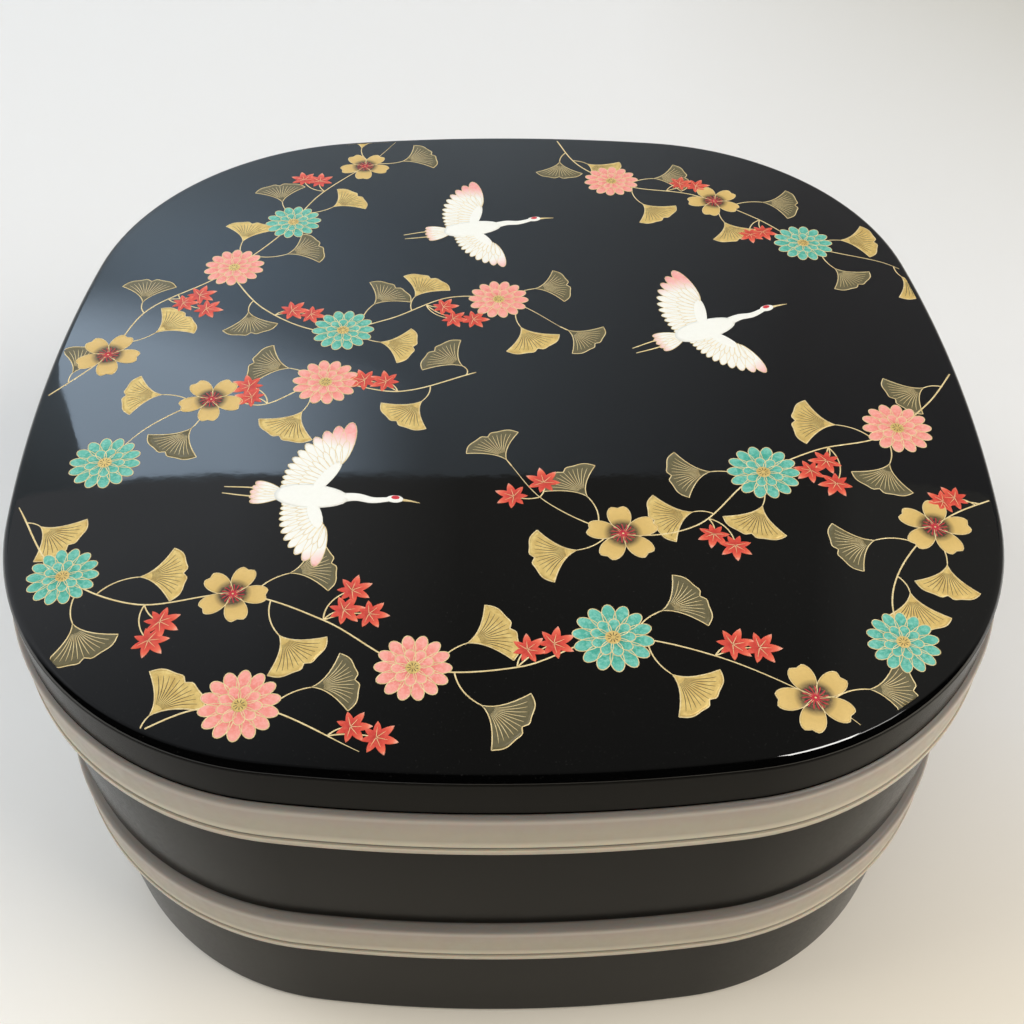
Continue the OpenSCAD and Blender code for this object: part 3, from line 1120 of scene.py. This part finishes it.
    def grown(self, sprays: list[Spray]) -> dict[Growth, Spots]:
        """Draws the stems and stalks, and works out where everything grows.

        A stalk leaves the stem at its side angle and bends back by a third of it; its growth sits on its end.

        Args:
            sprays: The sprays.

        Returns:
            The spots of each growth.
        """
        found: dict[Growth, list[tuple[float, float, float]]] = {kind: [] for kind in Growth}
        for spray in sprays:
            path = smooth_path(np.array(spray.knots, float), 150)
            taper = np.interp(np.linspace(0, 1, 150), [0, 0.02, 0.8, 1], [0.25, 0.42, 0.36, 0.12])
            inside = self.lid.outline.depth(path * MM) > (self.lid.draft + self.lid.shoulder + 0.15) * MM
            self.line(Layer.GOLD_LINE, path[inside][None], taper[inside], HERE, 0.03)
            share, side, stalk = np.array([growth[:3] for growth in spray.growths]).T
            at = np.clip((share * 149).round().astype(int), 1, 148)
            ahead = path[at + 1] - path[at - 1]
            heading = np.arctan2(ahead[:, 1], ahead[:, 0]) + np.radians(side)
            run = np.linspace(0, 1, 12)
            bend = heading[:, None] - np.radians(side)[:, None] * run / 3
            legs = path[at][:, None] + (stalk[:, None] * run)[..., None] * np.stack([np.cos(bend), np.sin(bend)], -1)
            long = stalk > 0.5
            if long.any():
                self.line(Layer.GOLD_LINE, legs[long], np.linspace(0.36, 0.28, 12), HERE, 0.027)
            last = legs[:, -1] - legs[:, -2]
            end = np.where(long, np.arctan2(last[:, 1], last[:, 0]), heading)
            for (_, _, _, kind), place, turn in zip(spray.growths, legs[:, -1], end):
                found[kind].append((*place, turn))
        return {kind: Spots(np.array(rows)[:, :2], np.array(rows)[:, 2], 0.94 + 0.12 * self.chance.random(len(rows)))
                for kind, rows in found.items()}

    def build(self, body: str, sprays: list[Spray], birds: Spots, finishes: dict[Layer, bpy.types.Material]) -> None:
        """Builds the whole painting, one piece for each layer.

        Args:
            body: The body it rides on.
            sprays: The sprays.
            birds: The cranes' spots.
            finishes: The material of each layer.
        """
        spots = self.grown(sprays)
        self.chrysanthemums(Layer.CORAL, spots[Growth.CORAL])
        self.chrysanthemums(Layer.TEAL, spots[Growth.TEAL])
        self.cherry_blossoms(spots[Growth.CHERRY])
        self.ginkgo_leaves(Layer.GOLD, Layer.DARK_LINE, spots[Growth.GINKGO])
        self.ginkgo_leaves(Layer.THIN_GOLD, Layer.GOLD_LINE, spots[Growth.THIN_GINKGO])
        self.maple_leaves(spots[Growth.MAPLE])
        self.cranes(birds)
        for layer, parts in self.layers.items():
            piece = Surface.joined(parts).to_object("painting_" + layer.value, [finishes[layer]])
            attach(piece, body)


CO, TE, CH, GI, TH, MA = Growth.CORAL, Growth.TEAL, Growth.CHERRY, Growth.GINKGO, Growth.THIN_GINKGO, Growth.MAPLE

SPRAYS = [
    Spray(((-97, -8), (-86, 6), (-80, 22), (-66, 34), (-54, 50), (-46, 68), (-34, 84), (-28, 95)), (
        (0.06, 60, 3, TH), (0.15, 0, 0, CH), (0.18, -75, 8, GI), (0.27, 70, 4, TH), (0.32, -95, 4, MA), (0.32, -45, 7, MA),
        (0.34, -110, 9, MA), (0.46, 0, 0, CO), (0.49, 75, 8, GI), (0.51, -75, 8, TH), (0.64, 0, 0, TE), (0.66, 85, 8, TH),
        (0.67, -75, 8, GI), (0.76, 80, 5, MA), (0.76, 120, 8, MA), (0.88, 0, 0, CH), (0.90, -80, 8, TH), (0.90, 85, 8, GI))),
    Spray(((-64, 36), (-54, 22), (-40, 14), (-26, 18), (-12, 26), (2, 24), (14, 14)), (
        (0.14, -70, 4, TH), (0.22, 95, 4, MA), (0.22, 60, 8, MA), (0.40, 0, 0, TE), (0.42, -80, 8, GI), (0.45, 80, 8, TH),
        (0.58, 75, 5, GI), (0.62, -70, 4, MA), (0.62, -110, 8, MA), (0.62, -90, 12, MA), (0.80, 0, 0, CO),
        (0.82, 85, 8, TH), (0.85, -85, 8, GI), (0.98, 10, 2, TH))),
    Spray(((14, 97), (20, 82), (32, 72), (48, 68), (62, 58), (74, 46), (90, 40), (97, 34)), (
        (0.08, -60, 5, TH), (0.12, 60, 4, GI), (0.25, 0, 0, CO), (0.29, 80, 8, TH), (0.30, -80, 8, GI), (0.38, 80, 5, MA),
        (0.38, 40, 8, MA), (0.50, 0, 0, CH), (0.52, -85, 8, GI), (0.54, 80, 9, TH), (0.62, -70, 5, MA), (0.62, -110, 7, MA),
        (0.74, 0, 0, TE), (0.76, 80, 8, GI), (0.78, -75, 8, TH), (0.94, -60, 4, GI))),
    Spray(((97, 2), (88, -10), (76, -20), (62, -24), (48, -32), (36, -44), (22, -46), (8, -38), (0, -26)), (
        (0.06, -70, 4, TH), (0.21, 0, 0, CO), (0.24, 85, 8, TH), (0.26, -80, 8, GI), (0.34, 90, 4, MA), (0.34, 60, 8, MA),
        (0.34, 110, 10, MA), (0.47, 0, 0, TE), (0.48, 80, 8, GI), (0.50, -80, 8, TH), (0.60, -80, 4, GI), (0.61, 85, 4, MA),
        (0.61, 120, 8, MA), (0.75, 0, 0, CH), (0.77, 85, 8, GI), (0.79, -80, 8, TH), (0.90, -80, 4, MA), (0.90, 70, 5, MA),
        (0.98, 0, 2, TH))),
    Spray(((-93, -38), (-82, -54), (-66, -62), (-48, -60), (-32, -66), (-16, -76), (2, -76), (18, -70), (36, -74), (54, -84),
           (62, -92)), (
        (0.03, 60, 3, GI), (0.12, 0, 0, TE), (0.15, -85, 8, TH), (0.17, 80, 8, GI), (0.22, -70, 5, MA), (0.22, -110, 8, MA),
        (0.31, 0, 0, CH), (0.33, 80, 8, TH), (0.35, -80, 8, GI), (0.41, 90, 4, MA), (0.41, 55, 8, MA), (0.41, 125, 8, MA),
        (0.52, 0, 0, CO), (0.54, 80, 8, GI), (0.56, -80, 8, TH), (0.62, 80, 4, MA), (0.62, 40, 8, MA), (0.72, 0, 0, TE),
        (0.74, 80, 8, TH), (0.75, -80, 8, GI), (0.82, 85, 4, MA), (0.82, 50, 8, MA), (0.92, 0, 0, CH), (0.93, 85, 8, TH))),
    Spray(((-64, -90), (-52, -84), (-40, -84), (-24, -92)), (
        (0.10, 60, 3, GI), (0.48, 0, 0, CO), (0.60, 75, 8, TH), (0.86, 80, 4, MA), (0.86, 40, 8, MA))),
    Spray(((96, -36), (84, -42), (74, -52), (69, -62), (69, -73)), (
        (0.12, -75, 4, MA), (0.10, -40, 7, MA), (0.34, 0, 0, CH), (0.38, 85, 8, GI), (0.46, -80, 8, TH), (0.66, 75, 4, GI),
        (0.96, 0, 0, TE))),
    Spray(((-6, 0), (-22, -6), (-38, -3), (-50, -10), (-60, -8), (-72, -16), (-80, -28)), (
        (0.03, -150, 3, TH), (0.12, 75, 5, GI), (0.20, -80, 4, MA), (0.20, -45, 8, MA), (0.38, 0, 0, CO), (0.40, -85, 8, TH),
        (0.42, 85, 8, GI), (0.54, -80, 4, MA), (0.54, -110, 7, MA), (0.68, 0, 0, CH), (0.70, 85, 8, TH), (0.72, -80, 8, GI),
        (0.98, 0, 0, TE))),
]

BIRDS = Spots(np.array([(-8.0, 53.0), (-38.0, -36.0), (44.0, 14.0)]), np.radians([12.0, -6.0, 24.0]), np.array([1.22, 1.26, 1.3]))


# ---------------------------------------------------------------- stage


@dataclass(frozen=True)
class Viewpoint:
    """The camera, as a fit to the photograph's edges gives it, about the middle of the lid's shoulder."""

    focal_px: float = 1192.6
    image_px: float = 1024.0
    place: tuple[float, float, float] = (-0.0153, -1.9848, 1.7215)
    pitch: float = math.radians(47.468)
    yaw: float = math.radians(1.007)
    roll: float = math.radians(-0.513)

    def build(self, half_width: float, level: float) -> bpy.types.Object:
        """Makes the scene's camera.

        Args:
            half_width: Half the width across the shoulder, the unit of place.
            level: Height of the shoulder.

        Returns:
            The camera.
        """
        yaw, pitch, roll = self.yaw, self.pitch, self.roll
        ahead = Vector((math.sin(yaw) * math.cos(pitch), math.cos(yaw) * math.cos(pitch), -math.sin(pitch)))
        right = Vector((math.cos(yaw), -math.sin(yaw), 0))
        down = ahead.cross(right)
        across = right * math.cos(roll) + down * math.sin(roll)
        fall = down * math.cos(roll) - right * math.sin(roll)
        data = bpy.data.cameras.new("camera")
        data.sensor_width, data.lens = 36.0, 36.0 * self.focal_px / self.image_px
        data.clip_start = 0.01
        made = bpy.data.objects.new("camera", data)
        turn = Matrix((across, -fall, -ahead)).transposed().to_4x4()
        made.matrix_world = Matrix.Translation(Vector(self.place) * half_width + Vector((0, 0, level))) @ turn
        bpy.context.scene.collection.objects.link(made)
        bpy.context.scene.camera = made
        return made


class Use(Enum):
    """What a lamp does: lights everything, only lights, or only shows in the lacquer's mirror."""

    ALL = "all"
    LIGHT = "light"
    MIRROR = "mirror"


@dataclass(frozen=True)
class Panel:
    """A soft lamp panel: where it is, where it points, its size, power, colour and use."""

    name: str
    place: tuple[float, float, float]
    aim: tuple[float, float, float]
    size: tuple[float, float]
    power: float
    colour: Colour = (1, 1, 1)
    use: Use = Use.ALL

    def build(self) -> bpy.types.Object:
        """The lamp."""
        data = bpy.data.lights.new(self.name, "AREA")
        data.shape, data.size, data.size_y = "RECTANGLE", *self.size
        data.energy, data.color = self.power, self.colour
        made = bpy.data.objects.new(self.name, data)
        made.location = self.place
        made.rotation_euler = (Vector(self.aim) - Vector(self.place)).to_track_quat("-Z", "Y").to_euler()
        made.visible_glossy, made.visible_diffuse = self.use is not Use.LIGHT, self.use is not Use.MIRROR
        bpy.context.scene.collection.objects.link(made)
        return made


@dataclass(frozen=True)
class Studio:
    """Pale floor that sweeps up behind, with painted shade on the floor and painted light and shade on the wall, a
    glowing pane that paints a window's reflection, soft lamps, and the air around them.
    """

    floor: Colour = (0.90, 0.88, 0.85)
    floor_far: Colour = (0.76, 0.747, 0.73)
    # painted shade: a warm tint for the shadowed floor in front of the box
    floor_front_shade_tint: Colour = (0.92, 0.845, 0.72)
    # painted shade: the floor darkens towards the far right corner
    floor_corner_shade: Colour = (0.53, 0.508, 0.45)
    # painted light and shade on the backdrop: lighter and bluer to the left as if window light fell there, darker to
    # the right; it shows mostly in the lacquer's reflection
    wall_lit_left: Colour = (0.68, 0.77, 0.84)
    wall_middle: Colour = (0.60, 0.68, 0.76)
    wall_shaded_right: Colour = (0.32, 0.32, 0.34)
    low: Colour = (0.88, 0.89, 0.885)
    high: Colour = (0.055, 0.058, 0.062)
    bound: float = 0.505
    bound_tilt: float = 0.311

    @staticmethod
    def sheet(across: Array, along: tuple[Array, Array], slant: Array) -> Surface:
        """A sheet through every pair of an across value and an along point, its x moved by the slant.

        Args:
            across: The x values.
            along: The y and z values of the points that the sheet runs through.
            slant: Shares of the x value kept at each along point.

        Returns:
            The open surface.
        """
        y, z = along
        x = across[:, None] * slant[None]
        points = np.stack(np.broadcast_arrays(x, y[None], z[None]), axis=-1).reshape(-1, 3)
        n, k = len(across), len(y)
        i, j = np.meshgrid(np.arange(n - 1), np.arange(k - 1), indexing="ij")
        quads = np.stack([i * k + j, (i + 1) * k + j, (i + 1) * k + j + 1, i * k + j + 1], axis=-1).reshape(-1, 4)
        return Surface(points, quads)

    def sweep(self) -> bpy.types.Object:
        """The floor and the wall behind it: a straight run, a quarter circle of radius r and a straight rise. The
        paper's colour carries painted shade in front of the box and in the far right corner, and painted light and
        shade across the wall.
        """
        radius, front, back, top, half = 0.5, -1.6, 1.0, 1.67, 2.2
        turn = np.linspace(0, QUARTER, 17)
        y = np.concatenate([[front], np.linspace(-0.5, back, 16), back + radius * np.sin(turn[1:]), [back + radius]])
        z = np.concatenate([np.zeros(17), radius * (1 - np.cos(turn[1:])), [top]])
        s = Shader("studio_paper")
        cloud = s.ranged(s.noise(1.6, 2), 0.3, 0.7, 0, 1)
        warm, cool = tuple(c * 0.985 for c in self.floor), tuple(min(c * 1.015, 1) for c in self.floor)
        x, y_at, z_at = s.axes(s.place)
        # painted shade: the floor in front of the box, most to the right, takes a warm tint that stands for the warm
        # light in the box's shadow
        front = s.math("MULTIPLY", s.ranged(y_at, -0.02, -0.095, 0, 1), s.ranged(x, -0.13, -0.03, 0.2, 1))
        # painted shade: mask of the darkening towards the far right corner
        corner = s.math("MULTIPLY", s.ranged(x, 0.06, 0.30, 0, 1), s.ranged(y_at, 0.10, 0.42, 0, 1))
        near = s.mix(front, s.mix(cloud, warm, cool), self.floor_front_shade_tint)
        paper = s.mix(corner, s.mix(s.ranged(y_at, -0.02, 0.12, 0, 1), near, self.floor_far), self.floor_corner_shade)
        # painted light and shade across the wall, from the lit left to the shaded right
        wall = s.mix(s.ranged(x, 0.0, 0.55, 0, 1), s.mix(s.ranged(x, -0.6, 0.0, 0, 1), self.wall_lit_left, self.wall_middle),
                     self.wall_shaded_right)
        s.join(s.mix(s.ranged(z_at, 0.15, 0.45, 0, 1), paper, wall), s.surface.inputs["Base Color"])
        s.set(Roughness=0.6)
        s.bump(s.noise(900, 3), 0.05, 0.0002)
        made = self.sheet(np.linspace(-half, half, 9), (y, z), np.ones(len(y))).to_object("studio_sweep", [s.material])
        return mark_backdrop(made)

    def window(self) -> bpy.types.Object:
        """A glowing pane before the wall, no lamp, seen only in the lacquer's mirror: a painted reflection of a bright
        window.

        Its glow is smooth(a) smooth(b), with smooth(t) = t^2 (3 - 2 t): a rises to the left from a slanting right edge
        over 0.36 m, and b rises from the pane's foot over 0.15 m.
        """
        x = np.linspace(-0.76, 0.0, 39)[:, None]
        z = np.linspace(0.80, 1.355, 29)[None]
        edge = -0.10 - 0.45 * np.clip((1.16 - z) / 0.24, 0, 1.4) ** 1.2
        a, b = np.clip((edge - x) / 0.36, 0, 1), np.clip((z - 0.80) / 0.15, 0, 1)
        pane = self.sheet(x[:, 0], (np.full(29, 1.2), z[0]), np.ones(29))
        pane.values = {"glow": (a**2 * (3 - 2 * a) * b**2 * (3 - 2 * b)).ravel()}
        s = Shader("window_reflection_pane")
        # painted reflection: an emitting pane, no lamp, seen only in reflections
        s.set(Base_Color=(0, 0, 0, 1), Emission_Color=(0.72, 0.90, 1.10, 1), Emission_Strength=4.6)
        s.join(s.attribute("glow"), s.surface.inputs["Alpha"])
        made = pane.to_object("window_reflection_pane", [s.material])
        made.visible_camera = False
        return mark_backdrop(made)

    def air(self) -> None:
        """The world.

        Light that falls on matt things comes from a pale part below a slanting bound that rises to the back, and a dark
        part above it with a glow to the left. The lacquer mirrors a dimmer air: behind, (0.22 falling to 0.1 overhead)
        plus a glow to the left and a faint one far right; nothing in front.
        """
        world = bpy.data.worlds.new("studio_air")
        n = Nodes(world)
        way = n.add("ShaderNodeTexCoord").outputs["Generated"]
        x, y, z = n.axes(way)
        lift = n.add("ShaderNodeVectorMath", operation="DOT_PRODUCT")
        lift.inputs[1].default_value = (0, -self.bound_tilt, 1)
        n.join(way, lift.inputs[0])
        above = n.ranged(lift.outputs["Value"], self.bound - 0.02, self.bound + 0.02, 0, 1)
        glow = n.mix(n.ranged(x, -0.75, -0.1, 0.55, 0), self.high, self.low)
        light = n.mix(above, self.low, glow)
        left = n.ranged(x, -0.22, -0.03, 1, 0)
        level = n.math("ADD", n.ranged(z, 0.74, 1.0, 0.22, 0.10), n.math("MULTIPLY", left, n.ranged(z, 0.72, 0.92, 0.48, 0)))
        level = n.math("ADD", level, n.ranged(x, 0.27, 0.31, 0, 0.11))
        level = n.math("MULTIPLY", level, n.ranged(y, -0.05, 0.2, 0.01, 1))
        mirror = n.mix(level, (0.0, 0.0, 0.0), n.mix(left, (1.0, 0.98, 0.92), (0.96, 1.0, 1.06)))
        path = n.add("ShaderNodeLightPath")
        n.join(n.mix(path.outputs["Is Glossy Ray"], light, mirror), n.tree.nodes["Background"].inputs["Color"])
        bpy.context.scene.world = world

    def build(self) -> None:
        """Makes the floor, the window, the lamps and the world."""
        self.sweep()
        self.window()
        for lamp in (
            Panel("left_lamp", (-1.35, 0.15, 1.55), (0, 0, 0.05), (1.3, 1.1), 19.5, (0.96, 0.985, 1.0), Use.LIGHT),
            Panel("right_lamp", (1.35, -0.42, 1.25), (0, 0, 0.05), (1.2, 0.9), 23, (1.0, 0.955, 0.88), Use.LIGHT),
            Panel("back_lamp", (0.0, 0.35, 1.7), (0, 0, 0.05), (1.6, 1.0), 5.5, (0.99, 0.99, 1.0), Use.LIGHT),
            Panel("ceiling_lamp", (0.57, 0.07, 1.37), (0.05, -0.09, 0.1), (0.30, 0.22), 5.0, (1.0, 0.97, 0.93), Use.MIRROR),
            Panel("ceiling_glow", (0.80, 0.07, 1.37), (0.05, -0.09, 0.1), (0.16, 0.22), 0.9, (1.0, 0.97, 0.93), Use.MIRROR),
        ):
            lamp.build()
        self.air()
        bpy.context.scene.view_settings.view_transform = "Standard"


def painting_finishes() -> dict[Layer, bpy.types.Material]:
    """The material of each of the painting's layers."""
    black, crimson = (0.012, 0.009, 0.008), (0.42, 0.012, 0.03)
    gold_line = GoldPowder("pale_gold_line", (0.86, 0.70, 0.38), (0.68, 0.50, 0.22), 0.2).build()
    return {
        Layer.THIN_GOLD: Paint("thin_gold_dust", ((0, (0.075, 0.06, 0.022)), (1, (0.11, 0.092, 0.04))), (0.17, 0.14, 0.06)).build(),
        Layer.GOLD: GoldPowder().build(),
        Layer.CORAL: Paint("coral_paint", ((0.2, (0.64, 0.10, 0.085)), (0.7, (0.78, 0.235, 0.19)), (1, (0.84, 0.36, 0.29))),
                           (0.86, 0.44, 0.37), 0.7).build(),
        Layer.TEAL: Paint("teal_paint", ((0.2, (0.012, 0.20, 0.14)), (0.7, (0.045, 0.34, 0.25)), (1, (0.13, 0.47, 0.37))),
                          (0.27, 0.60, 0.49), 0.7).build(),
        Layer.CHERRY: Paint("burnt_gold", ((0.18, black), (0.34, (0.05, 0.03, 0.012)), (0.52, (0.60, 0.40, 0.12)),
                                           (1, (0.70, 0.48, 0.16))), (0.52, 0.34, 0.10), 0.3).build(),
        Layer.VERMILION: Paint("vermilion_paint", ((0, (0.42, 0.018, 0.012)), (0.5, (0.62, 0.05, 0.026)), (0.75, (0.76, 0.14, 0.07)),
                                                   (1, (0.90, 0.50, 0.36))), (0.78, 0.16, 0.09), 0.3).build(),
        Layer.IVORY: Paint("ivory_paint", ((0, (0.84, 0.83, 0.76)), (0.72, (0.84, 0.82, 0.75)), (0.95, (0.84, 0.33, 0.30))),
                           (0.78, 0.76, 0.68), 0.3).build(),
        Layer.GOLD_LINE: gold_line,
        Layer.FEATHER_LINE: gold_line,
        Layer.DARK_LINE: Paint("black_line", ((0, black), (1, (0.02, 0.016, 0.012))), (0.05, 0.035, 0.02), 0.3).build(),
        Layer.CRIMSON: Paint("crimson_line", ((0, crimson), (1, (0.55, 0.02, 0.035))), (0.7, 0.05, 0.05), 0.3).build(),
    }


def main() -> None:
    """Builds the box, the stage and the camera, in order."""
    logging.basicConfig(level=logging.INFO, format="%(message)s")
    outline, stack = BowedOutline(), Stack()
    lid = OuterLid(outline, stack.upper_ledge)
    Viewpoint().build(97.6 * MM, stack.upper_ledge + lid.side_h * MM)
    satin, milky, gloss = SatinLacquer().build(), MilkyResin().build(), GlossLacquer().build()
    tier, seal = Tier(outline), SealLid(outline)
    tier.build("lower_tier", "lower_tier_body", 0, satin)
    seal.build("lower_seal_lid", "lower_seal_body", stack.lower_ledge, milky)
    tier.build("upper_tier", "upper_tier_body", stack.lower_ledge, satin)
    seal.build("upper_seal_lid", "upper_seal_body", stack.upper_ledge, milky)
    # painted shade: a matt near-black with no gloss for the lid's lower edge, standing for the shadow over the ledge
    dark = SatinLacquer("painted_shade_edge", (0.0003, 0.0003, 0.0003), (0.0005, 0.0005, 0.0005), 0.6, 0.0).build()
    lid.build("outer_lid", "outer_lid_body", [gloss, satin, dark])
    LidDesign(lid).build("outer_lid_body", SPRAYS, BIRDS, painting_finishes())
    Studio().build()


if __name__ == "__main__":
    main()
